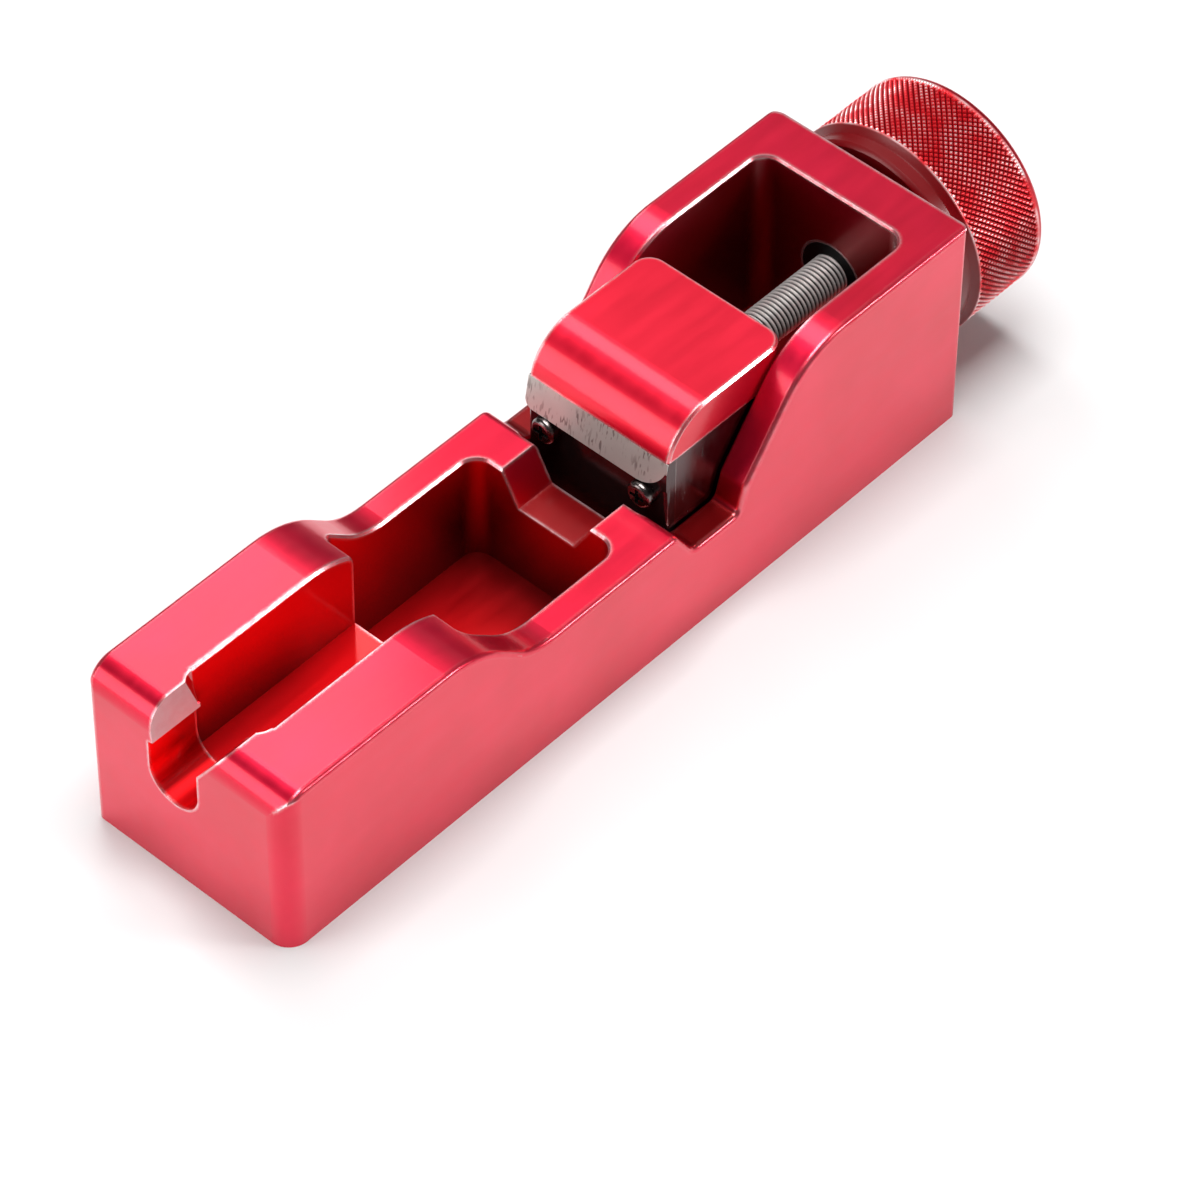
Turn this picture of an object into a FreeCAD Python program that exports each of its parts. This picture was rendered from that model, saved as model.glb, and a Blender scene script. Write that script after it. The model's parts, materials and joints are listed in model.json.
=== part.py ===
"""Spark plug gap tool: a milled body, a sliding jaw with a steel anvil, and a knurled fine-feed screw.

Every sub-part is drawn in tool coordinates: X runs from the body's front face towards the knob, Y from the
middle plane and Z up from the underside. Each one is then placed so that the origin is the middle of the
body's underside. Turning parts are drawn about their own X axis and lifted to the feed axis.
"""
import FreeCAD, Part
import math
import os
import Sketcher

V = FreeCAD.Vector

# Driving dimensions in millimetres.
SIZES = {
    # body outline
    "body_length": 131.8, "body_half_length": 65.9, "body_half_width": 17.5,
    "front_deck_z": 28.7, "mid_deck_z": 20.1, "valley_z": 15.0, "tower_z": 35.6,
    "deck_curve_x": 35.6, "deck_curve_end_x": 46.0, "saddle_foot_x": 77.1,
    "ramp_foot_x": 86.0, "ramp_knee_x": 87.2, "ramp_knee_z": 19.2, "ramp_top_x": 99.4,
    "nose_radius": 4.0, "deck_crest_radius": 16.0, "deck_foot_radius": 11.0, "saddle_edge_radius": 1.4,
    "saddle_foot_radius": 2.5,
    "ramp_foot_radius": 1.2, "ramp_knee_radius": 3.0, "ramp_top_radius": 14.0,
    "front_corner_radius": 3.2, "far_corner_radius": 1.3, "rear_corner_radius": 1.0,
    "far_rear_corner_radius": 2.2, "edge_radius": 0.8,
    "rim_break": 0.3,
    # hollows for the plug
    "pocket_half_width": 12.7, "pocket_radius": 2.8, "hex_front_radius": 1.8,
    "hex_front_x": 38.0, "hex_rear_x": 67.0, "hex_floor_z": 2.0,
    "slot_front_x": 8.6, "slot_half_width": 7.15, "slot_floor_z": 14.0,
    "notch_floor_half": 4.95, "notch_top_half": 8.05, "notch_floor_z": 14.7,
    "throat_half_width": 6.3, "throat_lip_y": 5.8, "throat_lip_z": 22.9, "hook_y": 6.65, "hook_top_z": 22.6,
    "hook_near_y": 1.95, "hook_flare_z": 22.4, "hook_centre_z": 18.2, "hook_radius": 4.3,
    "relief_x": 5.7, "relief_z": 29.5, "relief_length": 8.0, "relief_radius": 2.5, "relief_depth": 6.6,
    "relief_tilt": 21.0,
    # jaw channel and feed bushing seat
    "channel_front_x": 73.7, "channel_rear_x": 124.3, "channel_floor_z": 7.5,
    "feed_axis_z": 20.8, "bushing_radius": 5.0, "brake_x": 128.0, "brake_bore_radius": 1.5,
    "brake_bore_top_z": 16.2,
    # bushing and brake
    "bushing_flange_radius": 7.5, "bushing_flange_thickness": 1.5, "bushing_bore_radius": 3.06,
    "brake_pad_radius": 1.25, "brake_pad_length": 3.9, "brake_pad_low_z": 13.84,
    "brake_screw_length": 4.0, "brake_screw_low_z": 9.84, "brake_socket_width": 1.5,
    "brake_socket_depth": 1.6,
    # jaw
    "jaw_half_width": 12.4, "jaw_bottom_z": 7.6, "jaw_joint_z": 27.6, "jaw_top_z": 34.0, "jaw_rear_x": 100.6,
    "jaw_corner_radius": 3.0, "jaw_nose_x": 77.1, "jaw_nose_radius": 8.0, "jaw_crest_x": 84.94,
    "jaw_edge_break": 0.35, "plate_rear_x": 78.7, "plate_face_x": 76.9, "plate_bottom_z": 7.9,
    "lip_front_x": 76.2, "lip_bottom_z": 22.5, "lip_near_radius": 5.0, "lip_far_radius": 1.5,
    "plate_corner_radius": 0.8, "plate_hole_radius": 1.3,
    "thrust_seat_x": 84.0, "thrust_seat_radius": 6.5, "journal_bore_radius": 2.56,
    "plate_screw_y": 8.6, "plate_screw_z": 20.4, "plate_screw_radius": 1.25, "plate_screw_length": 9.1,
    "plate_screw_head_radius": 2.0, "plate_screw_head_height": 1.6, "plate_screw_head_x": 75.3,
    "plate_screw_head_round": 0.7, "cross_half_width": 0.32, "cross_half_length": 1.25, "cross_depth": 0.9,
    "cap_screw_x": 90.0, "cap_fixing_y": 7.5, "cap_screw_head_radius": 2.75, "cap_screw_head_height": 3.0,
    "cap_screw_low_z": 7.9, "cap_screw_radius": 1.5, "cap_screw_length": 20.8, "cap_screw_seat_z": 10.9,
    "cap_hole_top_z": 31.9, "cap_socket_width": 2.5, "cap_socket_depth": 1.6,
    "dowel_x": 96.0, "dowel_radius": 1.5, "dowel_low_z": 22.6, "dowel_length": 8.8,
    # feed screw and what holds it in the jaw
    "screw_tip_x": 80.2, "journal_radius": 2.5, "tip_chamfer": 0.4, "groove_front_x": 81.9,
    "groove_rear_x": 82.6, "groove_radius": 1.9, "thread_start_x": 101.2, "thread_radius": 3.0,
    "thread_end_x": 136.4,
    "tail_radius": 2.75, "tail_end_x": 145.5, "tail_hole_radius": 1.5, "tail_hole_x": 137.6,
    "washer_bore_radius": 2.6, "rear_washer_radius": 5.5, "rear_washer_thickness": 0.55,
    "front_washer_radius": 6.0, "front_washer_x": 83.2, "front_washer_thickness": 0.8,
    "wave_washer_radius": 5.6, "wave_washer_x": 82.6, "wave_washer_thickness": 0.6,
    "clip_x": 81.95, "clip_thickness": 0.6, "clip_radius": 4.4, "clip_bore_radius": 1.95,
    "clip_gap_half": 1.5,
    # knob
    "knob_front_x": 133.0, "knob_rear_x": 150.0, "knob_radius": 16.75, "knob_shoulder_radius": 15.7,
    "knob_front_chamfer": 0.6, "knob_shoulder_end_x": 135.4, "knurl_start_x": 136.2, "knob_round": 1.2,
    "knob_front_recess_radius": 8.5, "knob_front_recess_x": 135.2, "knob_rear_recess_radius": 8.0,
    "knob_rear_recess_x": 145.6, "hub_radius": 6.0, "hub_bore_radius": 2.77,
    "key_start_x": 137.4, "key_length": 7.0, "key_half_width": 1.0, "key_low": 2.0, "key_high": 3.5,
    "end_washer_thickness": 1.0, "end_washer_radius": 7.0, "end_washer_bore_radius": 1.6,
    "end_screw_head_radius": 2.75, "end_screw_head_height": 3.0, "end_screw_length": 8.6,
    "end_socket_width": 2.5, "end_socket_depth": 1.6,
}

doc = FreeCAD.newDocument("gap_tool")
sheet = doc.addObject("Spreadsheet::Sheet", "Sizes")
for row, (alias, size) in enumerate(SIZES.items(), start=1):
    sheet.set(f"A{row}", alias)
    sheet.set(f"B{row}", str(size))
    sheet.setAlias(f"B{row}", alias)
doc.recompute()

nodes = []


# ---------------------------------------------------------------- sums of named sizes

def number(text):
    """The value of a sum of size names and plain numbers, such as '- hub_radius + 1'."""
    total, sign = 0.0, 1
    for word in text.split():
        if word in ("+", "-"):
            sign = 1 if word == "+" else -1
        else:
            total += sign * (getattr(sheet, word) if word in SIZES else float(word))
            sign = 1
    return total


def formula(text):
    """The same sum as an expression on the spreadsheet."""
    return " ".join(f"Sizes.{word}" if word in SIZES else word for word in text.split())


def bind(obj, **properties):
    """Bind properties to sums of sizes; two underscores in a keyword stand for a dot."""
    for key, text in properties.items():
        obj.setExpression(key.replace("__", "."), formula(text))


# ---------------------------------------------------------------- sketches

def sketch_on(body, name, role, offset="0"):
    """A sketch on one of the body's own planes, moved along the plane's normal."""
    sketch = body.newObject("Sketcher::SketchObject", name)
    plane = next(item for item in body.Origin.OriginFeatures if item.Role == role)
    sketch.AttachmentSupport = (plane, [""])
    sketch.MapMode = "FlatFace"
    bind(sketch, AttachmentOffset__Base__z=offset)
    return sketch


def fix(sketch, kind, *where, size):
    """A driving constraint bound to the spreadsheet."""
    index = sketch.addConstraint(Sketcher.Constraint(kind, *where, number(size)))
    sketch.renameConstraint(index, f"size_{index}")
    bind(sketch, **{f"Constraints__size_{index}": size})


def chain(sketch, corners, closed=True):
    """Straight lines through the corners, each corner held by its two coordinates."""
    points = [V(number(across), number(up), 0) for across, up in corners]
    first = sketch.GeometryCount
    last = len(points) if closed else len(points) - 1
    for step in range(last):
        sketch.addGeometry(Part.LineSegment(points[step], points[(step + 1) % len(points)]), False)
    for step in range(last if closed else last - 1):
        sketch.addConstraint(Sketcher.Constraint("Coincident", first + step, 2, first + (step + 1) % last, 1))
    for step, (across, up) in enumerate(corners):
        line, end = (first + step, 1) if step < last else (first + last - 1, 2)
        fix(sketch, "DistanceX", -1, 1, line, end, size=across)
        fix(sketch, "DistanceY", -1, 1, line, end, size=up)
    return first


def circle(sketch, across, up, radius):
    centre = V(number(across), number(up), 0)
    index = sketch.addGeometry(Part.Circle(centre, V(0, 0, 1), number(radius)), False)
    fix(sketch, "DistanceX", -1, 1, index, 3, size=across)
    fix(sketch, "DistanceY", -1, 1, index, 3, size=up)
    fix(sketch, "Radius", index, size=radius)


def rectangle(sketch, left, right, low, high):
    chain(sketch, [(left, low), (right, low), (right, high), (left, high)])


def rounded_rectangle(sketch, left, right, low, high, radii):
    """Four lines and four tangent arcs; radii go round from the left low corner."""
    corners = [(left, low), (right, low), (right, high), (left, high)]
    points = [V(number(across), number(up), 0) for across, up in corners]
    lines, arcs = [], []
    for step in range(4):
        start, end = points[step], points[(step + 1) % 4]
        along = (end - start).normalize()
        first_gap, last_gap = number(radii[step]), number(radii[(step + 1) % 4])
        lines.append(sketch.addGeometry(
            Part.LineSegment(start + along * first_gap, end - along * last_gap), False))
    for step in range(4):
        radius = number(radii[step])
        inward = V(1 if step in (0, 3) else -1, 1 if step in (0, 1) else -1, 0)
        round_corner = Part.Circle(points[step] + inward * radius, V(0, 0, 1), radius)
        start_angle = math.pi + step * math.pi / 2
        arcs.append(sketch.addGeometry(
            Part.ArcOfCircle(round_corner, start_angle, start_angle + math.pi / 2), False))
    for step in range(4):
        sketch.addConstraint(Sketcher.Constraint("Tangent", lines[step - 1], 2, arcs[step], 1))
        sketch.addConstraint(Sketcher.Constraint("Tangent", arcs[step], 2, lines[step], 1))
        sketch.addConstraint(Sketcher.Constraint("Vertical" if step % 2 else "Horizontal", lines[step]))
        fix(sketch, "Radius", arcs[step], size=radii[step])
    fix(sketch, "DistanceY", -1, 1, lines[0], 1, size=low)
    fix(sketch, "DistanceX", -1, 1, lines[1], 1, size=right)
    fix(sketch, "DistanceY", -1, 1, lines[2], 1, size=high)
    fix(sketch, "DistanceX", -1, 1, lines[3], 1, size=left)


# ---------------------------------------------------------------- features

def new_body(label):
    body = doc.addObject("PartDesign::Body", label)
    body.Label = label
    return body


def pad(body, sketch, length):
    feature = body.newObject("PartDesign::Pad", f"{sketch.Name}_pad")
    feature.Profile = sketch
    bind(feature, Length=length)
    doc.recompute()
    return feature


def pocket(body, sketch, length=None, forward=False):
    """Cut against the sketch's normal, or along it when forward; with no length, right through."""
    before = body.Shape.Volume
    feature = body.newObject("PartDesign::Pocket", f"{sketch.Name}_pocket")
    feature.Profile = sketch
    feature.Reversed = forward
    if length is None:
        feature.Type = "ThroughAll"
    else:
        bind(feature, Length=length)
    doc.recompute()
    if not body.Shape.Volume < before:
        raise RuntimeError(f"{feature.Name} removes nothing")
    return feature


def turned(body, corners, name):
    """A solid of revolution about the body's X axis from corners given as (station, radius)."""
    outline = sketch_on(body, name, "XZ_Plane")
    chain(outline, corners)
    feature = body.newObject("PartDesign::Revolution", f"{name}_turned")
    feature.Profile = outline
    feature.ReferenceAxis = (outline, ["H_Axis"])
    feature.Angle = 360
    doc.recompute()
    return feature


def edges_where(feature, test):
    return [f"Edge{index}" for index, edge in enumerate(feature.Shape.Edges, start=1) if test(edge)]


def dressed(body, base, kind, name, test, size):
    """A Fillet or Chamfer on the base feature's edges that pass the test."""
    feature = body.newObject(f"PartDesign::{kind}", name)
    feature.Base = (base, edges_where(base, test))
    bind(feature, **{"Radius" if kind == "Fillet" else "Size": size})
    doc.recompute()
    return feature


def close(one, other):
    return abs(one - other) < 0.01


def across_at(station, height):
    """A test for a straight edge along Y at the given X and Z."""
    def test(edge):
        middle = edge.CenterOfMass
        return close(middle.x, number(station)) and close(middle.z, number(height)) and close(middle.y, 0)
    return test


def upright_at(station):
    """A test for upright edges at the given X."""
    def test(edge):
        box = edge.BoundBox
        return close(box.XMin, number(station)) and close(box.XLength, 0) and close(box.YLength, 0)
    return test


def placed(obj, lift="0"):
    """Move a sub-part from tool coordinates to the origin, and keep it as a node."""
    bind(obj, Placement__Base__x="- body_half_length", Placement__Base__z=lift)
    nodes.append(obj)


def mirrored_pair(label, source):
    """The source and its mirror image across the middle plane, as one node of two solids."""
    twin = doc.addObject("Part::Mirroring", f"{label}_twin")
    twin.Source = source
    twin.Base = V(0, 0, 0)
    twin.Normal = V(0, 1, 0)
    both = doc.addObject("Part::Compound", label)
    both.Label = label
    both.Links = [source, twin]
    doc.recompute()
    placed(both)


def cylinder(name, radius, height):
    obj = doc.addObject("Part::Cylinder", name)
    bind(obj, Radius=radius, Height=height)
    return obj


def socket_screw(name, head_radius, head_height, radius, length, socket_width, socket_depth):
    """A socket head screw standing on its head: socket at Z = 0, shank above the head."""
    head = cylinder(f"{name}_head", head_radius, head_height)
    shank = cylinder(f"{name}_shank", radius, length)
    bind(shank, Placement__Base__z=head_height)
    solid = doc.addObject("Part::Fuse", f"{name}_solid")
    solid.Base, solid.Tool = head, shank
    socket = doc.addObject("Part::Prism", f"{name}_socket")
    socket.Polygon = 6
    socket.setExpression("Circumradius", f"Sizes.{socket_width} / sqrt(3)")
    bind(socket, Height=socket_depth)
    screw = doc.addObject("Part::Cut", name)
    screw.Base, screw.Tool = solid, socket
    doc.recompute()
    return screw


def ring(label, front, thickness, bore, radius):
    """A flat washer on the feed axis."""
    body = new_body(label)
    turned(body, [(front, bore), (f"{front} + {thickness}", bore),
                  (f"{front} + {thickness}", radius), (front, radius)], f"{label}_section")
    placed(body, "feed_axis_z")


# ---------------------------------------------------------------- fixed parts

def make_body():
    """The milled body: front deck, low middle deck, valley and tower, with its hollows."""
    body = new_body("body")
    outline = sketch_on(body, "body_outline", "XZ_Plane", "- body_half_width")
    chain(outline, [("0", "0"), ("0", "front_deck_z"), ("deck_curve_x", "front_deck_z"),
                    ("deck_curve_end_x", "mid_deck_z"), ("channel_front_x", "mid_deck_z"),
                    ("saddle_foot_x", "valley_z"), ("ramp_foot_x", "valley_z"),
                    ("ramp_knee_x", "ramp_knee_z"), ("ramp_top_x", "tower_z"),
                    ("body_length", "tower_z"), ("body_length", "0")])
    solid = pad(body, outline, "body_half_width + body_half_width")
    rounds = [("nose", "0", "front_deck_z", "nose_radius"),
              ("deck_crest", "deck_curve_x", "front_deck_z", "deck_crest_radius"),
              ("deck_foot", "deck_curve_end_x", "mid_deck_z", "deck_foot_radius"),
              ("saddle_edge", "channel_front_x", "mid_deck_z", "saddle_edge_radius"),
              ("saddle_foot", "saddle_foot_x", "valley_z", "saddle_foot_radius"),
              ("ramp_foot", "ramp_foot_x", "valley_z", "ramp_foot_radius"),
              ("ramp_knee", "ramp_knee_x", "ramp_knee_z", "ramp_knee_radius"),
              ("ramp_top", "ramp_top_x", "tower_z", "ramp_top_radius")]
    for name, station, height, radius in rounds:
        solid = dressed(body, solid, "Fillet", name, across_at(station, height), radius)
    break_outer_edges(body, solid)
    trim = sketch_on(body, "plan_trim", "XY_Plane")
    rounded_rectangle(trim, "0", "body_length", "- body_half_width", "body_half_width",
                      ["front_corner_radius", "rear_corner_radius", "far_rear_corner_radius",
                       "far_corner_radius"])
    rectangle(trim, "- 5", "body_length + 5", "- body_half_width - 5", "body_half_width + 5")
    pocket(body, trim, forward=True)
    cut_plug_hollows(body)
    channel = sketch_on(body, "jaw_channel", "XY_Plane", "channel_floor_z")
    rounded_rectangle(channel, "channel_front_x", "channel_rear_x", "- pocket_half_width",
                      "pocket_half_width", ["pocket_radius"] * 4)
    break_rim(body, "channel_rim", pocket(body, channel, forward=True), "channel_front_x + pocket_radius",
              "channel_rear_x", "pocket_half_width", "valley_z")
    seat = sketch_on(body, "bushing_seat", "YZ_Plane", "body_length + 1")
    circle(seat, "0", "feed_axis_z", "bushing_radius")
    pocket(body, seat, "body_length - channel_rear_x + 2")
    access = sketch_on(body, "brake_bore", "XY_Plane", "- 1")
    circle(access, "brake_x", "0", "brake_bore_radius")
    pocket(body, access, "brake_bore_top_z + 1", forward=True)
    placed(body)


def cut_plug_hollows(body):
    """The hexagon pocket, the long front slot, the hooked throat and the thread notch."""
    hexagon = sketch_on(body, "hex_pocket", "XY_Plane", "hex_floor_z")
    rounded_rectangle(hexagon, "hex_front_x", "hex_rear_x", "- pocket_half_width", "pocket_half_width",
                      ["hex_front_radius", "pocket_radius", "pocket_radius", "hex_front_radius"])
    break_rim(body, "hex_rim", pocket(body, hexagon, forward=True), "hex_front_x", "hex_rear_x",
              "pocket_half_width", "mid_deck_z")
    slot = sketch_on(body, "front_slot", "XY_Plane", "slot_floor_z")
    rectangle(slot, "slot_front_x", "hex_front_x + 1", "- slot_half_width", "slot_half_width")
    break_rim(body, "slot_rim", pocket(body, slot, forward=True), "slot_front_x + 0.2", "hex_front_x",
              "slot_half_width", "mid_deck_z")
    relief = sketch_on(body, "slot_relief", "XY_Plane", "relief_z")
    relief.AttachmentOffset = FreeCAD.Placement(V(0, 0, number("relief_z")), FreeCAD.Rotation(V(0, 1, 0), -1))
    bind(relief, AttachmentOffset__Base__x="relief_x", AttachmentOffset__Rotation__Angle="- relief_tilt")
    rounded_rectangle(relief, "0", "relief_length", "- slot_half_width", "slot_half_width",
                      ["relief_radius"] * 4)
    pocket(body, relief, "relief_depth")
    throat = sketch_on(body, "throat", "YZ_Plane", "slot_front_x")
    above = "front_deck_z + 1"
    lines = chain(throat, [("hook_y", "hook_centre_z"), ("hook_y", "hook_top_z"),
                           ("throat_lip_y", "throat_lip_z"), ("throat_half_width", "front_deck_z"),
                           ("throat_half_width", above), ("- throat_half_width", above),
                           ("- throat_half_width", "front_deck_z"), ("- hook_near_y", "hook_flare_z"),
                           ("- hook_near_y", "hook_centre_z")], closed=False)
    centre = V(number("hook_y - hook_radius"), number("hook_centre_z"), 0)
    hook = throat.addGeometry(
        Part.ArcOfCircle(Part.Circle(centre, V(0, 0, 1), number("hook_radius")), math.pi, 2 * math.pi), False)
    throat.addConstraint(Sketcher.Constraint("Coincident", hook, 1, lines + 7, 2))
    throat.addConstraint(Sketcher.Constraint("Coincident", hook, 2, lines, 1))
    fix(throat, "DistanceY", -1, 1, hook, 3, size="hook_centre_z")
    pocket(body, throat, "slot_front_x + 1")
    notch = sketch_on(body, "thread_notch", "YZ_Plane", "channel_front_x + 1")
    top = "mid_deck_z + 1"
    chain(notch, [("- notch_floor_half", "notch_floor_z"), ("notch_floor_half", "notch_floor_z"),
                  ("notch_top_half", "mid_deck_z"), ("notch_top_half", top),
                  ("- notch_top_half", top), ("- notch_top_half", "mid_deck_z")])
    pocket(body, notch, "channel_front_x - hex_rear_x + 2")


def break_outer_edges(body, base):
    """A small round along both sides of the whole top profile."""
    def on_side(edge):
        box = edge.BoundBox
        return close(abs(box.YMin), number("body_half_width")) and close(box.YLength, 0) and box.ZMax > 1

    dressed(body, base, "Fillet", "side_rounds", on_side, "edge_radius")


def break_rim(body, name, base, front, rear, half_width, low):
    """A small chamfer on a pocket's top edges between two stations."""
    ends = (number(front) - 0.1, number(rear) + 0.1)
    side = number(half_width) + 0.1

    def on_rim(edge):
        box = edge.BoundBox
        return (ends[0] < box.XMin and box.XMax < ends[1] and -side < box.YMin and box.YMax < side
                and box.ZMin > number(low) - 0.1)

    dressed(body, base, "Chamfer", name, on_rim, "rim_break")


def make_bushing():
    """The flanged feed bushing: pressed into the rear wall, threaded for the feed screw."""
    body = new_body("feed_bushing")
    front, face = "channel_rear_x", "body_length"
    turned(body, [(front, "bushing_bore_radius"),
                  (f"{face} + bushing_flange_thickness", "bushing_bore_radius"),
                  (f"{face} + bushing_flange_thickness", "bushing_flange_radius"),
                  (face, "bushing_flange_radius"), (face, "bushing_radius"), (front, "bushing_radius")],
           "bushing_section")
    cross = sketch_on(body, "bushing_cross_hole", "XY_Plane")
    circle(cross, "brake_x", "0", "brake_pad_radius")
    pocket(body, cross)
    placed(body, "feed_axis_z")


def make_brake():
    """A nylon pad pressed on the feed screw by a set screw from below, so that a setting stays put."""
    pad_plug = cylinder("brake_pad", "brake_pad_radius", "brake_pad_length")
    bind(pad_plug, Placement__Base__x="brake_x - body_half_length", Placement__Base__z="brake_pad_low_z")
    nodes.append(pad_plug)
    shank = cylinder("brake_screw_shank", "brake_bore_radius", "brake_screw_length")
    socket = doc.addObject("Part::Prism", "brake_screw_socket")
    socket.Polygon = 6
    socket.setExpression("Circumradius", "Sizes.brake_socket_width / sqrt(3)")
    bind(socket, Height="brake_socket_depth")
    screw = doc.addObject("Part::Cut", "brake_screw")
    screw.Base, screw.Tool = shank, socket
    bind(screw, Placement__Base__x="brake_x - body_half_length", Placement__Base__z="brake_screw_low_z")
    nodes.append(screw)


# ---------------------------------------------------------------- jaw

def make_carriage():
    """The steel carriage that slides in the channel and carries the end of the feed screw."""
    body = new_body("jaw_carriage")
    plan = sketch_on(body, "carriage_plan", "XY_Plane", "jaw_bottom_z")
    rectangle(plan, "plate_rear_x", "jaw_rear_x", "- jaw_half_width", "jaw_half_width")
    block = pad(body, plan, "jaw_joint_z - jaw_bottom_z")
    dressed(body, block, "Fillet", "carriage_corners", upright_at("jaw_rear_x"), "jaw_corner_radius")
    journal = sketch_on(body, "journal_bore", "YZ_Plane", "jaw_rear_x + 1")
    circle(journal, "0", "feed_axis_z", "journal_bore_radius")
    pocket(body, journal)
    seat = sketch_on(body, "thrust_seat", "YZ_Plane", "thrust_seat_x")
    circle(seat, "0", "feed_axis_z", "thrust_seat_radius")
    pocket(body, seat)
    tapped = sketch_on(body, "plate_screw_holes", "YZ_Plane", "plate_screw_head_x + 10.9")
    for side in ("", "- "):
        circle(tapped, f"{side}plate_screw_y", "plate_screw_z", "plate_screw_radius")
    pocket(body, tapped)
    upright_holes = [("cap_screw_holes", "cap_screw_x", "cap_screw_radius", "jaw_bottom_z - 1"),
                     ("dowel_holes", "dowel_x", "dowel_radius", "dowel_low_z")]
    for name, station, radius, low in upright_holes:
        holes = sketch_on(body, name, "XY_Plane", low)
        for side in ("", "- "):
            circle(holes, station, f"{side}cap_fixing_y", radius)
        pocket(body, holes, forward=True)
    heads = sketch_on(body, "cap_screw_seats", "XY_Plane", "cap_screw_seat_z")
    for side in ("", "- "):
        circle(heads, "cap_screw_x", f"{side}cap_fixing_y", "cap_screw_head_radius")
    pocket(body, heads)
    placed(body)


def make_cap():
    """The anodised cap: a flat top that rolls over into the anvil's lip."""
    body = new_body("jaw_cap")
    side = sketch_on(body, "cap_side", "XZ_Plane", "- jaw_half_width")
    lines = chain(side, [("jaw_nose_x", "jaw_joint_z"), ("jaw_rear_x", "jaw_joint_z"),
                         ("jaw_rear_x", "jaw_top_z"), ("jaw_crest_x", "jaw_top_z")], closed=False)
    centre = V(number("jaw_crest_x"), number("jaw_top_z - jaw_nose_radius"), 0)
    foot = V(number("jaw_nose_x"), number("jaw_joint_z"), 0) - centre
    nose = side.addGeometry(Part.ArcOfCircle(Part.Circle(centre, V(0, 0, 1), number("jaw_nose_radius")),
                                             math.pi / 2, math.atan2(foot.y, foot.x)), False)
    side.addConstraint(Sketcher.Constraint("Coincident", nose, 1, lines + 2, 2))
    side.addConstraint(Sketcher.Constraint("Coincident", nose, 2, lines, 1))
    fix(side, "Radius", nose, size="jaw_nose_radius")
    block = pad(body, side, "jaw_half_width + jaw_half_width")
    corners = dressed(body, block, "Fillet", "cap_corners", upright_at("jaw_rear_x"), "jaw_corner_radius")

    def on_rim(edge):
        box = edge.BoundBox
        top = close(box.ZMin, number("jaw_top_z")) and close(box.ZLength, 0)
        beside_nose = close(abs(box.YMin), number("jaw_half_width")) and close(box.YLength, 0)
        return (top or beside_nose) and not close(box.YLength, 2 * number("jaw_half_width")) and \
            box.ZMax > number("jaw_joint_z") + 1 and not (close(box.XLength, 0) and close(box.YLength, 0))

    dressed(body, corners, "Chamfer", "cap_edge_break", on_rim, "jaw_edge_break")
    for name, station, radius in (("cap_screw_threads", "cap_screw_x", "cap_screw_radius"),
                                  ("cap_dowel_holes", "dowel_x", "dowel_radius")):
        holes = sketch_on(body, name, "XY_Plane", "cap_hole_top_z")
        for side_sign in ("", "- "):
            circle(holes, station, f"{side_sign}cap_fixing_y", radius)
        pocket(body, holes)
    placed(body)


def make_anvil_plate():
    """The hardened plate on the front of the jaw, with the lip that presses on the plug."""
    body = new_body("anvil_plate")
    side = sketch_on(body, "plate_side", "XZ_Plane", "- jaw_half_width")
    chain(side, [("plate_rear_x", "plate_bottom_z"), ("plate_face_x", "plate_bottom_z"),
                 ("plate_face_x", "lip_bottom_z"), ("lip_front_x", "lip_bottom_z"),
                 ("jaw_nose_x", "jaw_joint_z"), ("plate_rear_x", "jaw_joint_z")])
    block = pad(body, side, "jaw_half_width + jaw_half_width")
    dressed(body, block, "Fillet", "plate_corners", upright_at("plate_face_x"), "plate_corner_radius")
    for name, sign, radius in (("near", "- ", "lip_near_radius"), ("far", "", "lip_far_radius")):
        relief = sketch_on(body, f"lip_{name}_round", "YZ_Plane", "plate_face_x")
        edge_y = f"{sign}jaw_half_width"
        inner_y = f"{edge_y} {'+' if sign else '-'} {radius}"
        lines = chain(relief, [(inner_y, "lip_bottom_z"), (edge_y, "lip_bottom_z"),
                               (edge_y, f"lip_bottom_z + {radius}")], closed=False)
        centre = V(number(inner_y), number(f"lip_bottom_z + {radius}"), 0)
        start = math.pi if sign else 1.5 * math.pi
        corner = Part.Circle(centre, V(0, 0, 1), number(radius))
        arc = relief.addGeometry(Part.ArcOfCircle(corner, start, start + math.pi / 2), False)
        first, second = (2, 1) if sign else (1, 2)
        relief.addConstraint(Sketcher.Constraint("Coincident", arc, first, lines, 1))
        relief.addConstraint(Sketcher.Constraint("Coincident", arc, second, lines + 1, 2))
        fix(relief, "Radius", arc, size=radius)
        pocket(body, relief, "plate_face_x - lip_front_x + 1")
    holes = sketch_on(body, "plate_holes", "YZ_Plane", "plate_rear_x + 1")
    for sign in ("", "- "):
        circle(holes, f"{sign}plate_screw_y", "plate_screw_z", "plate_hole_radius")
    pocket(body, holes)
    placed(body)


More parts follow.
